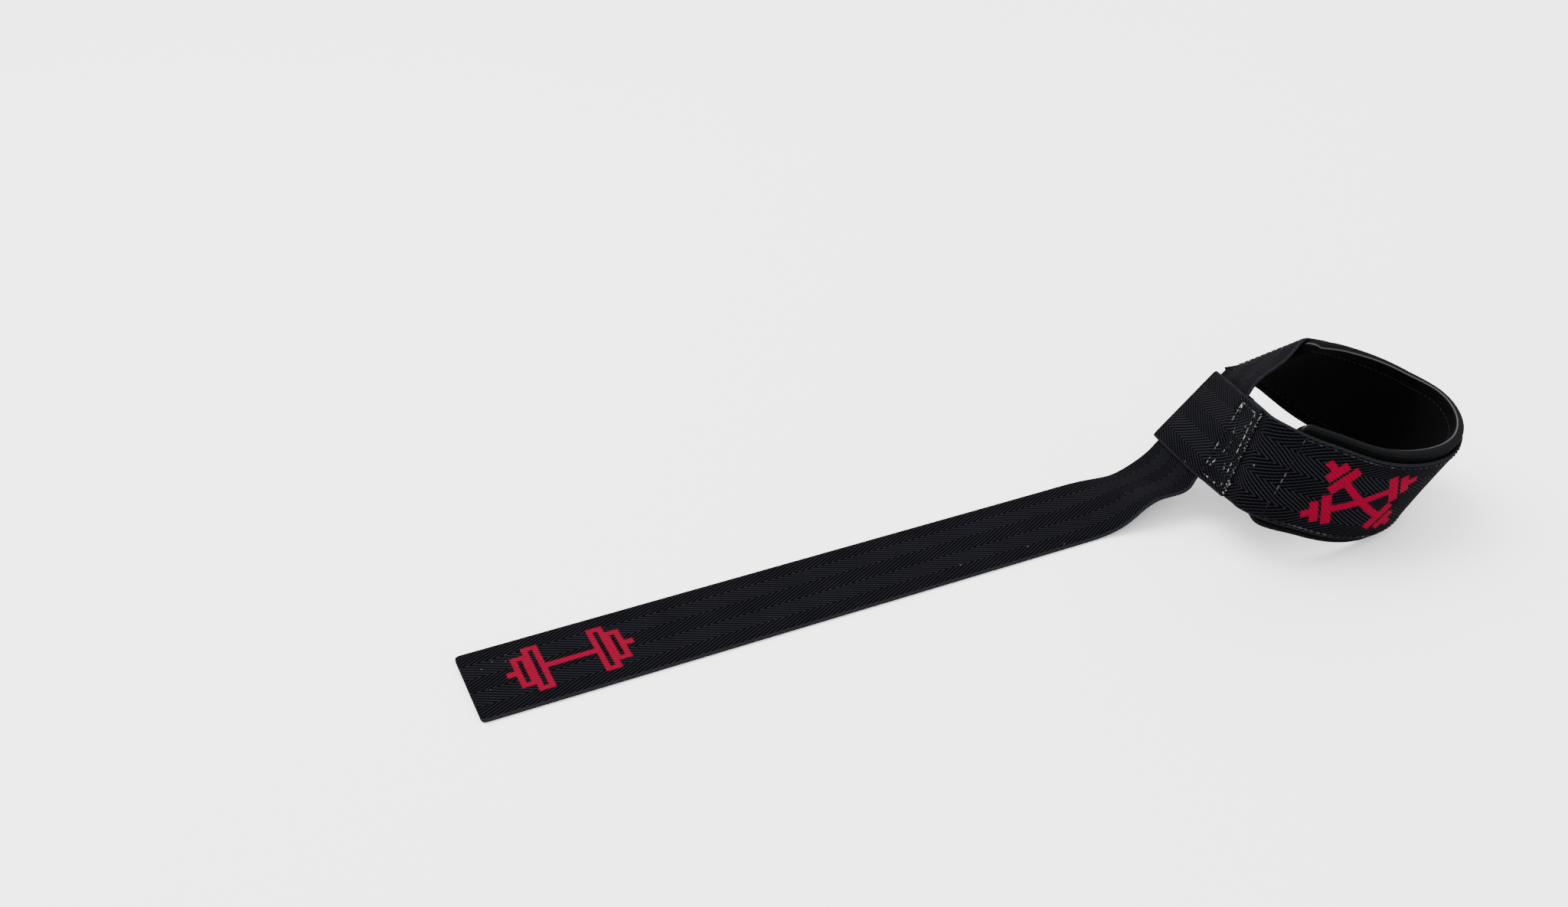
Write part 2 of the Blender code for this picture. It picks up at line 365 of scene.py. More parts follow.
class Bench:
    """Adds and joins the shader nodes of one material."""

    def __init__(self, name: str) -> None:
        """Starts a material of this name with its own shader."""
        self.material = bpy.data.materials.new(name)
        self.material.use_nodes = True
        self.tree = self.material.node_tree
        self.shader = self.tree.nodes["Principled BSDF"]

    def put(self, kind: str, **settings: object) -> bpy.types.Node:
        """Adds a node and sets its own settings."""
        node = self.tree.nodes.new(kind)
        for name, value in settings.items():
            setattr(node, name, value)
        return node

    def feed(self, socket: Socket, value: object) -> None:
        """Joins a socket to another one, or sets its value."""
        if isinstance(value, Socket):
            self.tree.links.new(value, socket)
        else:
            socket.default_value = value

    def math(self, operation: str, *values: object, clamp: bool = False) -> Socket:
        """Adds a Math node that works on up to three values.

        Args:
            operation: Name of the Math node's operation.
            *values: Numbers or sockets.
            clamp: Whether the result is kept from 0 to 1.

        Returns:
            The result's socket.
        """
        node = self.put("ShaderNodeMath", operation=operation, use_clamp=clamp)
        for socket, value in zip(node.inputs, values):
            self.feed(socket, value)
        return node.outputs[0]

    def times(self, value: object, factor: object) -> Socket:
        """Adds a product."""
        return self.math("MULTIPLY", value, factor)

    def scaled(self, value: object, factor: object, added: object, clamp: bool = False) -> Socket:
        """Adds a product plus a third value."""
        return self.math("MULTIPLY_ADD", value, factor, added, clamp=clamp)

    def ribs(self, distance: object, pitch: float) -> Socket:
        """Adds a wave from 0 to 1 that repeats at this pitch."""
        turned = self.math("SINE", self.times(self.math("DIVIDE", distance, pitch), 2 * math.pi))
        return self.scaled(turned, 0.5, 0.5)

    def mix(self, factor: object, first: object, second: object) -> Socket:
        """Adds a blend of two colours.

        Args:
            factor: Share of the second colour.
            first: A colour or a socket.
            second: A colour or a socket.

        Returns:
            The blended colour's socket.
        """
        node = self.put("ShaderNodeMix", data_type="RGBA", blend_type="MIX")
        self.feed(node.inputs[0], factor)
        for socket, colour in ((node.inputs[6], first), (node.inputs[7], second)):
            self.feed(socket, colour if isinstance(colour, Socket) else (*colour, 1.0))
        return node.outputs[2]

    def noise(self, scale: float, detail: float, vector: Socket | None = None) -> Socket:
        """Adds a noise pattern.

        Args:
            scale: Its cells for each metre.
            detail: How many finer layers it has.
            vector: Socket of the coordinates, or None for Object coordinates.

        Returns:
            The pattern's socket, from 0 to 1.
        """
        node = self.put("ShaderNodeTexNoise")
        node.inputs["Scale"].default_value = scale
        node.inputs["Detail"].default_value = detail
        if vector is None:
            vector = self.put("ShaderNodeTexCoord").outputs["Object"]
        self.feed(node.inputs["Vector"], vector)
        return node.outputs["Fac"]

    def strip_place(self) -> tuple[Socket, Socket, Socket]:
        """Adds the coordinates of a piece that was laid out along the strip.

        Returns:
            Sockets of the place on the strip, the run, and the distance across from the centre line, which is
            alike on both faces.
        """
        place = self.put("ShaderNodeUVMap", uv_map=STRIP_MAP).outputs[0]
        split = self.put("ShaderNodeSeparateXYZ")
        self.feed(split.inputs[0], place)
        run, across = split.outputs[0], split.outputs[1]
        return place, run, self.math("SUBTRACT", across, self.math("ROUND", across))

    def surface(self, colour: Socket, roughness: Socket, specular: float, sheen: float) -> None:
        """Gives the shader its colour and gloss.

        Args:
            colour: Socket of the colour.
            roughness: Socket of the roughness.
            specular: Specular level.
            sheen: Sheen weight.
        """
        for name, value in (("Base Color", colour), ("Roughness", roughness),
                            ("Specular IOR Level", specular), ("Sheen Weight", sheen)):
            self.feed(self.shader.inputs[name], value)

    def bump(self, height: object, depth: float, strength: float) -> None:
        """Gives the shader a relief.

        Args:
            height: Socket of the relief, from 0 to 1.
            depth: Its depth.
            strength: How strongly it shows.
        """
        node = self.put("ShaderNodeBump")
        node.inputs["Distance"].default_value = depth
        node.inputs["Strength"].default_value = strength
        self.feed(node.inputs["Height"], height)
        self.feed(self.shader.inputs["Normal"], node.outputs[0])


@dataclass(frozen=True)
class Bar:
    """One straight bar of a printed sign, in the strip's flat measures, filled unless it has an outline."""

    run: float
    across: float
    length: float
    breadth: float
    turn: float = 0.0
    outline: float = 0.0


def dumbbell_sign(run: float, outline: float = 0.0022) -> list[Bar]:
    """Makes the sign of a dumbbell that lies along the strip, with its plates in outline.

    Args:
        run: Place of its middle along the strip.
        outline: Breadth of the outlines.

    Returns:
        The sign's bars.
    """
    bars = [Bar(run, 0.0, 0.0225, 0.0026)]
    for side in (-1, 1):
        bars.append(Bar(run + side * 0.0125, 0.0, 0.0062, 0.0250, outline=outline))
        bars.append(Bar(run + side * 0.0177, 0.0, 0.0062, 0.0170, outline=outline))
        bars.append(Bar(run + side * 0.0222, 0.0, 0.0036, 0.0028))
    return bars


def crossed_sign(run: float, lean: float = 29.0) -> list[Bar]:
    """Makes the sign of two crossed dumbbells.

    Args:
        run: Place of its middle along the strip.
        lean: Degrees that each dumbbell leans from the strip's run.

    Returns:
        The sign's bars.
    """
    plates = ((0.0140, 0.0040, 0.0135), (0.0190, 0.0036, 0.0092), (0.0226, 0.0040, 0.0030))
    bars = []
    for turn in (math.radians(-lean), math.radians(lean)):
        bars.append(Bar(run, 0.0, 0.0250, 0.0030, turn))
        for off, length, breadth in plates:
            for reach in (-off, off):
                bars.append(Bar(run + reach * math.cos(turn), reach * math.sin(turn), length, breadth, turn))
    return bars


@dataclass(frozen=True)
class WebbingFinish:
    """Near-black herringbone webbing with a red print, worked into its own flat measures."""

    bars: tuple[Bar, ...]
    name: str = "Webbing"
    # The first colour is painted shade for the weave's hollows, the second the lit colour of its ridges.
    painted_shade: Triple = (0.0001, 0.0001, 0.0002)
    ridge: Triple = (0.0105, 0.0105, 0.0138)
    ink: Triple = (0.125, 0.0005, 0.011)
    lint: Triple = (0.12, 0.12, 0.13)
    cloud: Grain = (60.0, 3.0)
    fibre: Grain = (2600.0, 2.0)
    drift: Grain = (90.0, 1.0)
    wander: float = 0.0009
    band: float = 0.0076
    bands_to_edge: float = 2.5
    rib_pitch: float = 0.0013
    rib_along: float = 0.45
    rib_aside: float = 0.90
    rib_height: float = 0.45
    rib_peak: float = 1.5
    yarn_pitch: float = 0.0008
    yarn_lean: float = -1.6
    yarn_height: float = 0.30
    warp_height: float = 0.25
    contrast: float = 2.1
    fibre_shade: Shade = (0.9, 0.5)
    cloud_shade: Shade = (0.8, 0.5)
    # Painted highlight on the twill ribs, and painted sheen on every other herringbone band.
    rib_highlight: Shade = (1.5, 0.3)
    band_sheen: Shade = (0.35, 0.8)
    selvedge_from: float = 0.0181
    selvedge_share: float = 0.6
    lint_cells: float = 260.0
    lint_size: float = 0.085
    lint_patches: Grain = (330.0, 0.0)
    lint_above: float = 0.66
    lint_strength: float = 0.55
    edge_grain: Grain = (1500.0, 2.0)
    ragged: float = 0.0007
    print_edge: float = -0.00022
    cover: Shade = (0.35, 0.45)
    fibre_cover: float = 0.5
    roughness: Shade = (-0.18, 0.86)
    fibre_relief: float = 0.12
    relief_depth: float = 0.00026

    def bar_depth(self, bench: Bench, place: Socket, bar: Bar) -> Socket:
        """Adds how far a place lies outside a bar.

        Args:
            bench: The material's bench.
            place: Socket of the place on the strip.
            bar: The bar.

        Returns:
            Socket of the distance, below 0 inside the print.
        """
        cos, sin = math.cos(bar.turn), math.sin(bar.turn)
        depths = []
        for axis, half in (((cos, sin, 0.0), bar.length / 2), ((-sin, cos, 0.0), bar.breadth / 2)):
            dot = bench.put("ShaderNodeVectorMath", operation="DOT_PRODUCT")
            bench.feed(dot.inputs[0], place)
            dot.inputs[1].default_value = axis
            middle = bar.run * axis[0] + bar.across * axis[1]
            off = bench.math("ABSOLUTE", bench.math("SUBTRACT", dot.outputs["Value"], middle))
            depths.append(bench.math("SUBTRACT", off, half))
        depth = bench.math("MAXIMUM", *depths)
        if not bar.outline:
            return depth
        rim = bench.math("ABSOLUTE", bench.math("ADD", depth, bar.outline / 2))
        return bench.math("SUBTRACT", rim, bar.outline / 2)

    def print_mask(self, bench: Bench, place: Socket) -> Socket:
        """Adds the mask of every bar, with an edge that the weave makes uneven.

        Args:
            bench: The material's bench.
            place: Socket of the place on the strip.

        Returns:
            Socket of the mask, 1 where ink lies.
        """
        nearest = self.bar_depth(bench, place, self.bars[0])
        for bar in self.bars[1:]:
            nearest = bench.math("MINIMUM", nearest, self.bar_depth(bench, place, bar))
        rough = bench.scaled(bench.noise(*self.edge_grain, place), self.ragged, -self.ragged / 2)
        soft = bench.math("DIVIDE", bench.math("ADD", nearest, rough), self.print_edge)
        return bench.math("ADD", soft, 0.5, clamp=True)

    def make(self) -> Material:
        """Makes the material.

        Returns:
            The material.
        """
        bench = Bench(self.name)
        place, run, level = bench.strip_place()
        cloudy, fine = bench.noise(*self.cloud, place), bench.noise(*self.fibre, place)
        drawn = bench.scaled(bench.noise(*self.drift, place), self.wander, run)
        from_edge = bench.math("ADD", level, self.band * self.bands_to_edge)
        chevron = bench.math("PINGPONG", from_edge, self.band)
        slant = bench.scaled(drawn, self.rib_along, bench.times(chevron, self.rib_aside))
        twill = bench.ribs(slant, self.rib_pitch)
        yarn = bench.ribs(bench.scaled(chevron, self.yarn_lean, drawn), self.yarn_pitch)
        relief = bench.scaled(yarn, self.yarn_height, bench.times(twill, self.rib_height))
        relief = bench.scaled(bench.ribs(level, self.yarn_pitch), self.warp_height, relief)
        band_number = bench.math("FLOOR", bench.math("DIVIDE", from_edge, self.band))
        other_band = bench.math("MODULO", band_number, 2.0)
        # The weave's relief sets painted shade in its hollows and the lit colour on its ridges.
        light = bench.math("POWER", relief, self.contrast)
        # The twill ribs get a painted highlight and every other band a painted sheen.
        for pattern, shade in (
            (fine, self.fibre_shade),
            (cloudy, self.cloud_shade),
            (bench.math("POWER", twill, self.rib_peak), self.rib_highlight),
            (other_band, self.band_sheen),
        ):
            light = bench.times(light, bench.scaled(pattern, *shade))
        cloth = bench.mix(light, self.painted_shade, self.ridge)
        selvedge = bench.math("GREATER_THAN", bench.math("ABSOLUTE", level), self.selvedge_from)
        cloth = bench.mix(bench.times(selvedge, self.selvedge_share), cloth, self.ridge)
        fluff = bench.put("ShaderNodeTexVoronoi", feature="F1")
        fluff.inputs["Scale"].default_value = self.lint_cells
        bench.feed(fluff.inputs["Vector"], place)
        sparse = bench.math("GREATER_THAN", bench.noise(*self.lint_patches, place), self.lint_above)
        dot = bench.math("LESS_THAN", fluff.outputs["Distance"], self.lint_size)
        specks = bench.times(bench.times(dot, sparse), self.lint_strength)
        cloth = bench.mix(specks, cloth, self.lint)
        mask = self.print_mask(bench, place)
        worn = bench.scaled(fine, self.fibre_cover, bench.scaled(relief, *self.cover), clamp=True)
        colour = bench.mix(bench.times(mask, worn), cloth, self.ink)
        bench.surface(colour, bench.scaled(mask, *self.roughness), specular=0.008, sheen=0.0015)
        bench.shader.inputs["Sheen Roughness"].default_value = 0.40
        bench.bump(bench.scaled(fine, self.fibre_relief, relief), self.relief_depth, strength=0.75)
        return bench.material


@dataclass(frozen=True)
class PadFinish:
    """Black foam pad faced with a fine knit, with a painted highlight line where the facing turns over the
    rim.
    """

    name: str = "Pad"
    # The first colour is painted shade for the knit's hollows, the second its lit nap.
    deep_shade: Triple = (0.0005, 0.0005, 0.0006)
    nap: Triple = (0.0020, 0.0021, 0.0023)
    rim: Triple = (0.0042, 0.0044, 0.0049)
    # A painted highlight line along the rim's inner edge.
    rim_highlight: Triple = (0.055, 0.057, 0.059)
    cloud: Grain = (45.0, 2.0)
    fibre: Grain = (1800.0, 2.0)
    column: float = 0.00072
    course: float = 0.0009
    course_shade: Shade = (0.5, 0.5)
    cloud_shade: Shade = (1.0, 0.2)
    rim_from: float = 0.0221
    rim_shade: Shade = (0.9, 0.25)
    # Place, fade and mottle of the painted highlight line.
    highlight_at: float = 0.0226
    highlight_fade: Shade = (-3500.0, 1.4)
    highlight_mottle: Shade = (0.6, 0.35)
    roughness: Shade = (0.12, 0.84)
    fibre_relief: float = 0.35
    relief_depth: float = 0.00016

    def make(self) -> Material:
        """Makes the material.

        Returns:
            The material.
        """
        bench = Bench(self.name)
        place, run, level = bench.strip_place()
        cloudy, fine = bench.noise(*self.cloud, place), bench.noise(*self.fibre, place)
        courses = bench.scaled(bench.ribs(run, self.course), *self.course_shade)
        relief = bench.times(bench.ribs(level, self.column), courses)
        # Painted shade in the knit's hollows, with the lit nap on its raised loops.
        cloth = bench.mix(bench.times(relief, bench.scaled(cloudy, *self.cloud_shade)), self.deep_shade, self.nap)
        off = bench.math("ABSOLUTE", level)
        on_rim = bench.math("GREATER_THAN", off, self.rim_from)
        cloth = bench.mix(bench.times(on_rim, bench.scaled(fine, *self.rim_shade)), cloth, self.rim)
        # A painted highlight line where the rim begins.
        line_off = bench.math("ABSOLUTE", bench.math("SUBTRACT", off, self.highlight_at))
        line = bench.scaled(line_off, *self.highlight_fade, clamp=True)
        cloth = bench.mix(bench.times(line, bench.scaled(fine, *self.highlight_mottle)), cloth, self.rim_highlight)
        bench.surface(cloth, bench.scaled(fine, *self.roughness), specular=0.015, sheen=0.002)
        bench.bump(bench.scaled(fine, self.fibre_relief, relief), self.relief_depth, strength=0.6)
        return bench.material


@dataclass(frozen=True)
class ThreadFinish:
    """Twisted sewing thread of one colour, lit only in patches over a painted shade."""

    name: str
    colour: Triple
    # The second colour is painted shade, over which the thread's own colour shows lit in patches.
    painted_shade: Triple
    shade_share: float = 0.0
    twist: Grain = (2400.0, 2.0)
    patches: Grain = (260.0, 1.0)
    contrast: float = 5.0
    roughness: Shade = (0.25, 0.45)
    relief_depth: float = 0.0001

    def make(self) -> Material:
        """Makes the material.

        Returns:
            The material.
        """
        bench = Bench(self.name)
        fine = bench.noise(*self.twist)
        # Sparse patches of the thread's lit colour; the rest is painted shade.
        uneven = bench.math("SUBTRACT", bench.noise(*self.patches), self.shade_share)
        share = bench.math("MULTIPLY", fine, bench.times(uneven, self.contrast), clamp=True)
        colour = bench.mix(share, self.painted_shade, self.colour)
        bench.surface(colour, bench.scaled(fine, *self.roughness), specular=0.03, sheen=0.008)
        bench.bump(fine, self.relief_depth, strength=0.5)
        return bench.material


@dataclass
class Loft:
    """A closed tube of rings, with a flat end face at both ends and its own flat measures as a map."""

    name: str
    rings: list[list[Vector]]
    places: list[list[Place]]

    def build(self, material: Material, sharp: float) -> Piece:
        """Makes the object.

        Args:
            material: Its material.
            sharp: Angle in radians above which an edge is sharp.

        Returns:
            The object.
        """
        count = len(self.rings[0])
        points = [tuple(point) for ring in self.rings for point in ring]
        flat = [place for ring in self.places for place in ring]
        last = (len(self.rings) - 1) * count
        faces = []
        for near in range(0, last, count):
            far = near + count
            for i in range(count):
                j = (i + 1) % count
                faces.append((near + i, far + i, far + j, near + j))
        faces += [tuple(range(count)), tuple(range(last + count - 1, last - 1, -1))]
        mesh = bpy.data.meshes.new(self.name)
        mesh.from_pydata(points, [], faces)
        layer = mesh.uv_layers.new(name=STRIP_MAP)
        for loop in mesh.loops:
            layer.data[loop.index].uv = flat[loop.vertex_index]
        mesh.materials.append(material)
        piece = add_object(self.name, mesh)
        select_only(piece)
        bpy.ops.object.mode_set(mode="EDIT")
        bpy.ops.mesh.select_all(action="SELECT")
        bpy.ops.mesh.normals_make_consistent(inside=False)
        bpy.ops.object.mode_set(mode="OBJECT")
        bpy.ops.object.shade_smooth_by_angle(angle=sharp)
        return piece


def add_object(name: str, data: bpy.types.ID) -> Piece:
    """Adds an object of this data to the scene.

    Args:
        name: Its name.
        data: Its mesh, lamp or camera.

    Returns:
        The object.
    """
    added = bpy.data.objects.new(name, data)
    bpy.context.scene.collection.objects.link(added)
    return added


def select_only(*pieces: Piece) -> None:
    """Selects these pieces and nothing else."""
    bpy.ops.object.select_all(action="DESELECT")
    for piece in pieces:
        piece.select_set(True)
    bpy.context.view_layer.objects.active = pieces[0]


@dataclass
class Webbing:
    """The woven strip: one closed band with rounded selvedges, from the tail's end to the raw end."""

    path: StrapPath
    columns: int = 30
    selvedge_steps: int = 4
    selvedge: float = 0.0012
    selvedge_dip: float = 0.00012
    corner: float = 0.0018

    def profile(self) -> list[Triple]:
        """Gives the band's cross-section.

        Returns:
            Points of (across as a share of the half width, out in metres, place across in the map).
        """
        half, thick = self.path.keeper.width / 2, self.path.keeper.thickness / 2
        face = []
        for i in range(self.columns + 1):
            across = (half - thick) * (2 * i / self.columns - 1)
            near_edge = smooth_step((abs(across) - (half - thick - self.selvedge)) / self.selvedge)
            face.append((across, thick - self.selvedge_dip * near_edge))
        edge = []
        for i in range(1, self.selvedge_steps):
            turn = math.pi * i / self.selvedge_steps
            edge.append((half - thick + thick * math.sin(turn), (thick - self.selvedge_dip) * math.cos(turn)))
        points = [(across / half, out, across) for across, out in face + edge]
        points += [(across / half, -out, across + BACK_FACE_SHIFT) for across, out in reversed(face)]
        return points + [(-across / half, -out, BACK_FACE_SHIFT - across) for across, out in edge]

    def half_width(self, run: float) -> float:
        """Returns the half width at a distance along the strip, less at the tail end's rounded corners."""
        return self.path.keeper.width / 2 - corner_cut(run, self.corner)

    def build(self, finish: WebbingFinish) -> Piece:
        """Makes the strip.

        Args:
            finish: Its finish.

        Returns:
            The strip.
        """
        path, rings, places = self.path, [], []
        profile = self.profile()
        for centre, side, along, run in zip(path.centres, path.across, path.runs, path.distances):
            outward = unit(np.cross(side, along))
            half = self.half_width(float(run))
            rings.append([Vector(centre + share * half * side + out * outward) for share, out, _ in profile])
            places.append([(float(run), across) for _, _, across in profile])
        return Loft("strap_webbing", rings, places).build(finish.make(), sharp=math.radians(50))


@dataclass
class WristPad:
    """The foam pad inside the wrist part: crowned, rolled at its rim and drawn in along its sewn lines."""

    path: StrapPath
    overhang: float = 0.0035
    thickness: float = 0.004
    clearance: float = 0.0004
    start: float = 0.015
    bare_end: float = 0.009
    corner: float = 0.008
    corner_steps: int = 10
    rim: float = 0.0016
    rim_steps: int = 6
    roundness: float = 0.6
    end_slim: float = 0.25
    seam_inset: float = 0.0052
    seam_dip: float = 0.0005
    seam_width: float = 0.0011
    crown: float = 0.0003
    wrinkle: float = 0.00022
    short_wave: float = 610.0
    wave_bend: float = 1.9
    wave_turns: float = 240.0
    long_wave: float = 235.0
    wave_slant: float = 130.0
    wave_start: float = 0.7
    calm_end: float = 0.012
    columns: int = 40
    step: float = 0.0014

    def __post_init__(self) -> None:
        """Works out where the pad lies along the strip."""
        self.first = self.path.cuff_start + self.start
        self.last = self.path.cuff_end - self.bare_end
        self.half = self.path.keeper.width / 2 + self.overhang

    def places(self) -> list[float]:
        """Returns the distances of the pad's rows, closer together at its rounded ends."""
        count = round((self.last - self.first - 2 * self.corner) / self.step)
        middle = np.linspace(self.first + self.corner, self.last - self.corner, count)
        steps = self.corner_steps
        turns = [self.corner * (1 - math.cos(math.pi / 2 * i / steps)) for i in range(steps)]
        near = [self.first + share for share in turns]
        far = [self.last - share for share in reversed(turns)]
        return near + [float(place) for place in middle] + far

    def inner_height(self, run: float, across: float, half: float) -> float:
        """Gives how far the inner face stands from the pad's middle.

        Args:
            run: Distance along the strip.
            across: Distance from the centre line.
            half: The pad's half width at this place.

        Returns:
            The height, drawn in along the seam and crowned between the seams.
        """
        seam, from_end = half - self.seam_inset, min(run - self.first, self.last - run)
        drawn = sum(self.seam_dip * math.exp(-(off / self.seam_width) ** 2)
                    for off in (abs(across) - seam, from_end - self.seam_inset))
        swell = self.crown * max(0.0, 1 - (across / seam) ** 2)
        bent = run * self.short_wave + self.wave_bend * math.sin(across * self.wave_turns)
        ripple = math.sin(bent) * math.sin(run * self.long_wave + across * self.wave_slant + self.wave_start)
        fade = smooth_step(1 - abs(across) / half) * smooth_step(from_end / self.calm_end)
        return self.thickness / 2 - drawn + swell + self.wrinkle * ripple * fade

    def ring(self, run: float) -> list[Triple]:
        """Gives the pad's cross-section.

        Args:
            run: Distance along the strip.

        Returns:
            Points of (across, inward, place across in the map).
        """
        from_end = min(run - self.first, self.last - run)
        half = self.half - corner_cut(from_end, self.corner)
        end_share = math.sqrt(1 - (1 - min(from_end / self.rim, 1.0)) ** 2)
        slim = self.end_slim + (1 - self.end_slim) * end_share
        flat = half - self.rim
        spread = [flat * (2 * i / self.columns - 1) for i in range(self.columns + 1)]
        points = [(across, self.inner_height(run, across, half) * slim, across) for across in spread]
        low, high = -self.thickness / 2 * slim, points[-1][1]
        middle, reach = (low + high) / 2, (high - low) / 2
        roll = []
        for i in range(1, self.rim_steps):
            turn = math.pi * i / self.rim_steps
            around = flat + self.rim / 2 + self.thickness * i / self.rim_steps
            across = flat + self.rim * math.sin(turn) ** self.roundness
            roll.append((across, middle + reach * math.cos(turn), around))
        under = [(-across, low, BACK_FACE_SHIFT - across) for across in spread]
        mirrored = [(-across, inward, -around) for across, inward, around in reversed(roll)]
        return points + roll + under + mirrored

    def build(self, finish: PadFinish) -> Piece:
        """Makes the pad.

        Args:
            finish: Its finish.

        Returns:
            The pad.
        """
        offset = self.path.keeper.thickness / 2 + self.clearance + self.thickness / 2
        rings, places = [], []
        for run in self.places():
            centre, side, _, outward = self.path.row_at(run)
            ring = self.ring(run)
            rings.append([
                Vector(centre + across * side - (offset + inward) * outward) for across, inward, _ in ring
            ])
            places.append([(run, place) for _, _, place in ring])
        return Loft("cuff_pad", rings, places).build(finish.make(), sharp=math.radians(60))


@dataclass
class Stitching:
    """The sewn lines: single stitches laid end to end on the webbing and on the pad."""

    path: StrapPath
    pad: WristPad
    length: float = 0.0023
    breadth: float = 0.00062
    height: float = 0.00046
    pitch: float = 0.0029
    dive: float = 0.55
    raised: float = 0.00005
    sway: float = 0.05
    sway_step: float = 7.3
    sway_shift: float = 40.0
    cross_margin: float = 0.0022
    cross_inset: float = 0.0028
    cross_overrun: float = 0.0015
    yarns: int = 64
    yarn_seed: int = 11
    yarn_inset: float = 0.001
    yarn_root: float = 0.0002

    def model_stitch(self) -> Piece:
        """Models one stitch, a short strand whose two ends dive into the cloth.

        Returns:
            The stitch, at the origin and along X.
        """
        turned = (0.0, math.pi / 2, 0.0)
        bpy.ops.mesh.primitive_uv_sphere_add(segments=8, ring_count=6, radius=0.5, rotation=turned)
        stitch = bpy.context.object
        stitch.name = "stitch"
        bpy.ops.object.transform_apply()
        bpy.ops.object.mode_set(mode="EDIT")
        bpy.ops.mesh.select_all(action="SELECT")
        bpy.ops.transform.resize(value=(self.length, self.breadth, self.height))
        bpy.ops.object.mode_set(mode="OBJECT")
        ends = self.length / 2
        for vertex in stitch.data.vertices:
            share = abs(vertex.co.x) / ends
            vertex.co.z -= self.height * self.dive * share ** 3
        bpy.ops.object.shade_smooth()
        return stitch

    def sew(self, name: str, stitch: Piece, frames: list[Matrix], material: Material) -> Piece:
        """Sews one seam by copying the stitch to each place.

        Args:
            name: The seam's name.
            stitch: The stitch to copy.
            frames: A frame for each copy.
            material: The thread's material.

        Returns:
            The seam as one object.
        """
        copies = []
        for place in frames:
            mesh = stitch.data.copy()
            mesh.transform(place)
            copies.append(add_object(name, mesh))
        select_only(*copies)
        bpy.ops.object.join()
        seam = bpy.context.view_layer.objects.active
        seam.name = name
        seam.data.materials.clear()
        seam.data.materials.append(material)
        return seam

    def lines(self, ends: list[tuple[Place, Place]], out: float) -> list[Matrix]:
        """Lays stitches along straight lines on one face of the strip.

        Args:
            ends: Two places of (run, across) for each line.
            out: Distance from the webbing's middle, below 0 on its inner face.

        Returns:
            A frame for each stitch, its Z away from the webbing.
        """
        over = Matrix.Rotation(math.pi if out < 0 else 0.0, 4, "X")
        frames = []
        for start, end in ends:
            forward, aside = end[0] - start[0], end[1] - start[1]
            count = max(2, round(math.hypot(forward, aside) / self.pitch))
            heading = math.atan2(aside, forward)
            for i in range(count):
                share = (i + 0.5) / count
                place = self.path.frame_at(start[0] + forward * share, start[1] + aside * share, out)
                sway = self.sway * math.sin(self.sway_step * i + self.sway_shift * start[1])
                frames.append(place @ Matrix.Rotation(heading + sway, 4, "Z") @ over)
        return frames

    def frays(self, material: Material) -> Piece:
        """Lets short loose yarns stand out of the keeper's raw end.

        Args:
            material: The yarns' material.

        Returns:
            The yarns as one object.
        """
        bpy.ops.mesh.primitive_cone_add(vertices=5, radius1=0.00016, radius2=0.00005, depth=0.0015,
                                        location=(0.0005, 0.0, 0.0), rotation=(0.0, math.pi / 2, 0.0))
        yarn = bpy.context.object
        yarn.name = "yarn"
        bpy.ops.object.transform_apply()
        bpy.ops.object.shade_smooth()
        draw = random.Random(self.yarn_seed)
        half, thick = self.path.keeper.width / 2 - self.yarn_inset, self.path.keeper.thickness / 2
        root = self.path.length - self.yarn_root
        frames = []
        for i in range(self.yarns):
            across = half * (2 * (i + draw.random()) / self.yarns - 1)
            place = self.path.frame_at(root, across, thick * draw.uniform(-0.7, 0.5))
            swing = Matrix.Rotation(draw.uniform(-0.6, 0.6), 4, "Z")
            lift = Matrix.Rotation(draw.uniform(-0.2, 0.5), 4, "Y")
            frames.append(place @ swing @ lift @ Matrix.Scale(draw.uniform(0.4, 1.25), 4))
        fringe = self.sew("raw_end_yarns", yarn, frames, material)
        bpy.data.objects.remove(yarn, do_unlink=True)
        return fringe

    def keeper_cross(self) -> list[Matrix]:
        """Lays the crossed box that holds the keeper's end, on both sides of its two layers.

        Returns:
            A frame for each stitch.
        """
        keeper = self.path.keeper
        box_length = keeper.seam_length + self.cross_overrun
        side = keeper.width / 2 - self.cross_inset
        over = self.path.length - self.cross_margin
        under = self.path.cuff_end + keeper.root_length + self.cross_margin
        ends = []
        for far, near in ((over - box_length, over), (under + box_length, under)):
            corners = [(far, -side), (far, side), (near, side), (near, -side)]
            ends += zip(corners, corners[1:] + corners[:1])
            ends += [(corners[0], corners[2]), (corners[1], corners[3])]
        return self.lines(ends, Face.INNER.value * (keeper.thickness / 2 + self.raised))

    def pad_edges(self, face: Face) -> list[Matrix]:
        """Lays the two lines that hold the pad along its edges and one across each of its ends.

        Args:
            face: The face that the stitches lie on.

        Returns:
            A frame for each stitch.
        """
        pad = self.pad
        side = pad.half - pad.seam_inset
        first, last = pad.first + pad.seam_inset, pad.last - pad.seam_inset
        rise = self.raised if face is Face.OUTER else pad.clearance + pad.thickness - pad.seam_dip
        near, far = ((first, -side), (first, side)), ((last, -side), (last, side))
        ends = [(near[1], far[1]), (near[0], far[0]), near, far]
        return self.lines(ends, face.value * (self.path.keeper.thickness / 2 + rise))

    def build(self) -> list[Piece]:
        """Sews every seam.

        Returns:
            The seams.
        """
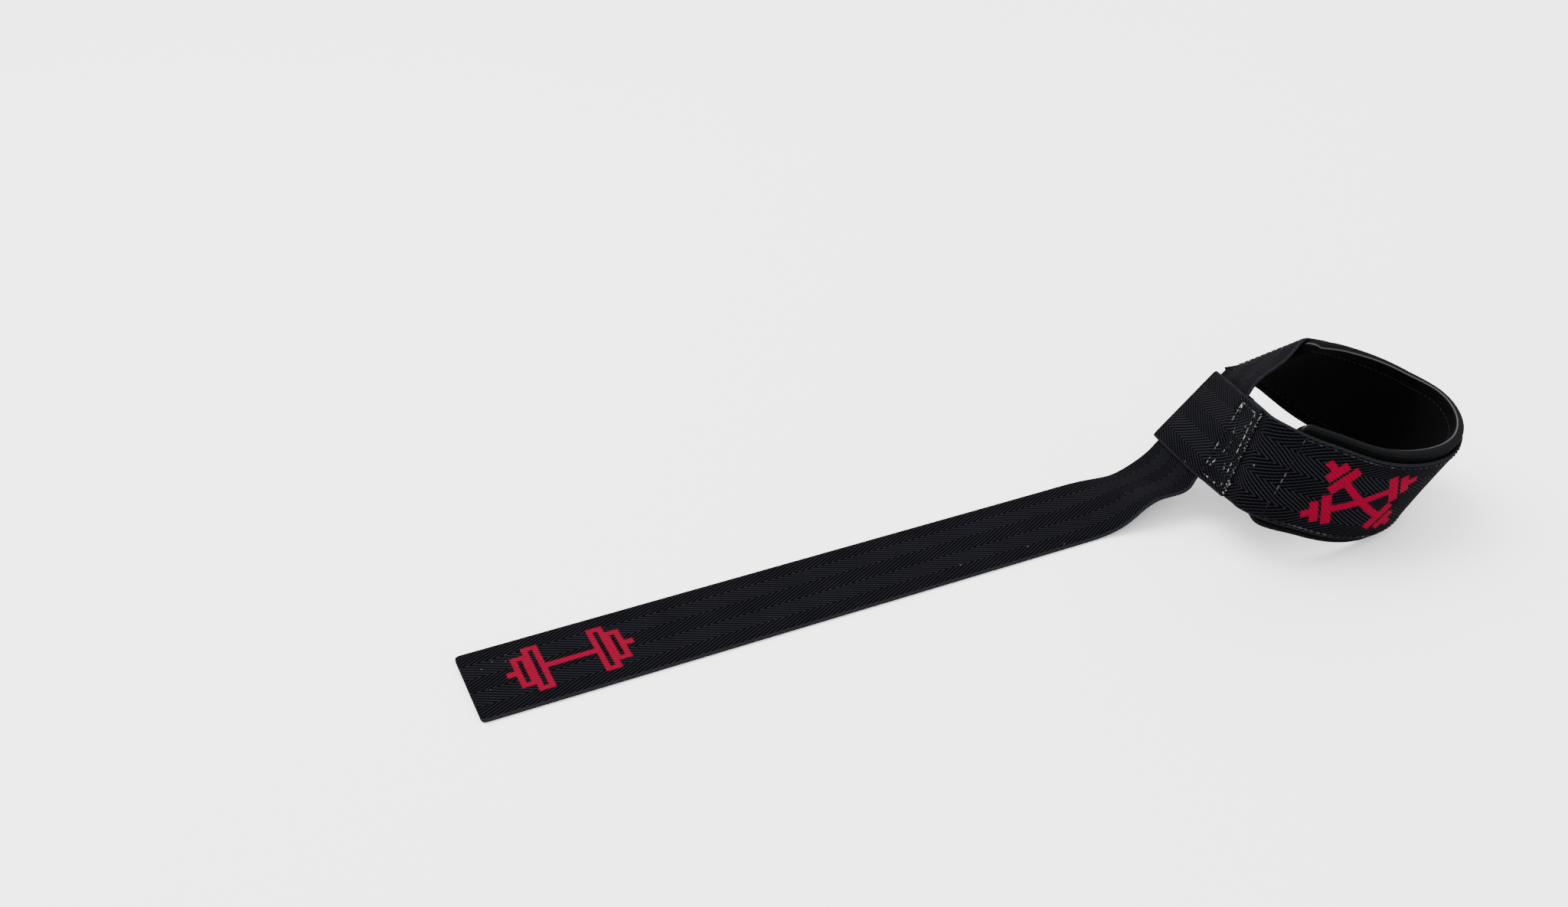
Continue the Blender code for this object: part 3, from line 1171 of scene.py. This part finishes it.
        # Each thread's second colour is painted shade, and its last number sets how much of it stays in
        # shade.
        dark = ThreadFinish("Dark thread", (0.050, 0.050, 0.055), (0.002, 0.002, 0.003), 0.42).make()
        pale = ThreadFinish("Pale thread", (0.40, 0.40, 0.41), (0.002, 0.002, 0.003), 0.53).make()
        loose = ThreadFinish("Loose yarns", (0.62, 0.62, 0.63), (0.010, 0.010, 0.011), 0.44).make()
        black = ThreadFinish("Black thread", (0.004, 0.004, 0.005), (0.0005, 0.0005, 0.0005)).make()
        stitch = self.model_stitch()
        seams = [
            self.sew("keeper_stitches", stitch, self.keeper_cross(), pale),
            self.sew("cuff_stitches", stitch, self.pad_edges(Face.OUTER), dark),
            self.sew("pad_stitches", stitch, self.pad_edges(Face.INNER), black),
        ]
        bpy.data.objects.remove(stitch, do_unlink=True)
        seams.append(self.frays(loose))
        return seams


@dataclass
class Studio:
    """The pale surface, the soft lights and the camera."""

    tail_end: Vector
    camera_place: Triple = (-0.0714, -0.4191, 0.3670)
    right: Triple = (0.9065, -0.4223, 0.0)
    up: Triple = (0.2300, 0.4937, 0.8387)
    back: Triple = (-0.3542, -0.7602, 0.5446)
    focal_share: float = 2000 / 2048
    sensor: float = 36.0
    world_strength: float = 2.5
    lamps: tuple[tuple[str, Triple, float, float], ...] = (
        ("Key", (-0.5, 0.6, 1.5), 1.2, 54.0),
        ("Fill", (-0.9, -1.1, 1.0), 1.4, 17.0),
        ("Rim", (1.3, 0.7, 0.9), 1.0, 14.0),
    )
    target: Vector = field(default_factory=lambda: Vector((0.05, 0.0, 0.02)))

    def camera(self) -> None:
        """Stands the camera where the photograph was taken from."""
        data = bpy.data.cameras.new("Camera")
        data.sensor_width = self.sensor
        data.lens = self.focal_share * self.sensor
        data.clip_start = 0.01
        turned = Matrix((self.right, self.up, self.back)).transposed().to_4x4()
        turned.translation = Vector(self.camera_place) + self.tail_end
        camera = add_object("Camera", data)
        camera.matrix_world = turned
        bpy.context.scene.camera = camera

    def floor(self) -> None:
        """Lays the flat surface under the strap."""
        bpy.ops.mesh.primitive_plane_add(size=12.0)
        floor = bpy.context.object
        floor.name = "floor"
        bench = Bench("Floor")
        bench.shader.inputs["Base Color"].default_value = (0.95, 0.95, 0.95, 1.0)
        bench.feed(bench.shader.inputs["Roughness"], bench.scaled(bench.noise(3.0, 2.0), 0.1, 0.75))
        bench.shader.inputs["Specular IOR Level"].default_value = 0.2
        floor.data.materials.append(bench.material)

    def lights(self) -> None:
        """Sets the pale surroundings and hangs soft lights that face the strap."""
        world = bpy.data.worlds.new("Pale room")
        world.use_nodes = True
        background = world.node_tree.nodes["Background"]
        background.inputs["Color"].default_value = (1.0, 1.0, 1.0, 1.0)
        background.inputs["Strength"].default_value = self.world_strength
        bpy.context.scene.world = world
        for name, place, size, power in self.lamps:
            data = bpy.data.lights.new(name, "AREA")
            data.shape = "SQUARE"
            data.size, data.energy = size, power
            light = add_object(name, data)
            light.location = place
            light.rotation_euler = (self.target - Vector(place)).to_track_quat("-Z", "Y").to_euler()

    def build(self) -> None:
        """Sets up the whole studio."""
        self.camera()
        self.floor()
        self.lights()


def main() -> None:
    """Dresses the strap and reports each piece."""
    logging.basicConfig(level=logging.INFO, format="%(message)s")
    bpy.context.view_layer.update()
    tail_end = solid_tail_end(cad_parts["webbing_strap"])
    Studio(tail_end).build()
    path = StrapPath(tail_end)
    LOG.info("strip %.0f mm long, wrist part %.0f to %.0f mm", path.length * 1e3, path.cuff_start * 1e3,
             path.cuff_end * 1e3)
    signs = (*dumbbell_sign(0.0385), *crossed_sign(0.529))
    webbing = Webbing(path).build(WebbingFinish(signs))
    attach(webbing, "root")
    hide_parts("webbing_strap")
    pad_maker = WristPad(path)
    pad = pad_maker.build(PadFinish())
    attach(pad, "root")
    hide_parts("wrist_pad")
    seams = Stitching(path, pad_maker).build()
    for seam in seams:
        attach(seam, "root")
    for piece in (webbing, pad, *seams):
        LOG.info("%s: %d faces", piece.name, len(piece.data.polygons))


if __name__ == "__main__":
    main()
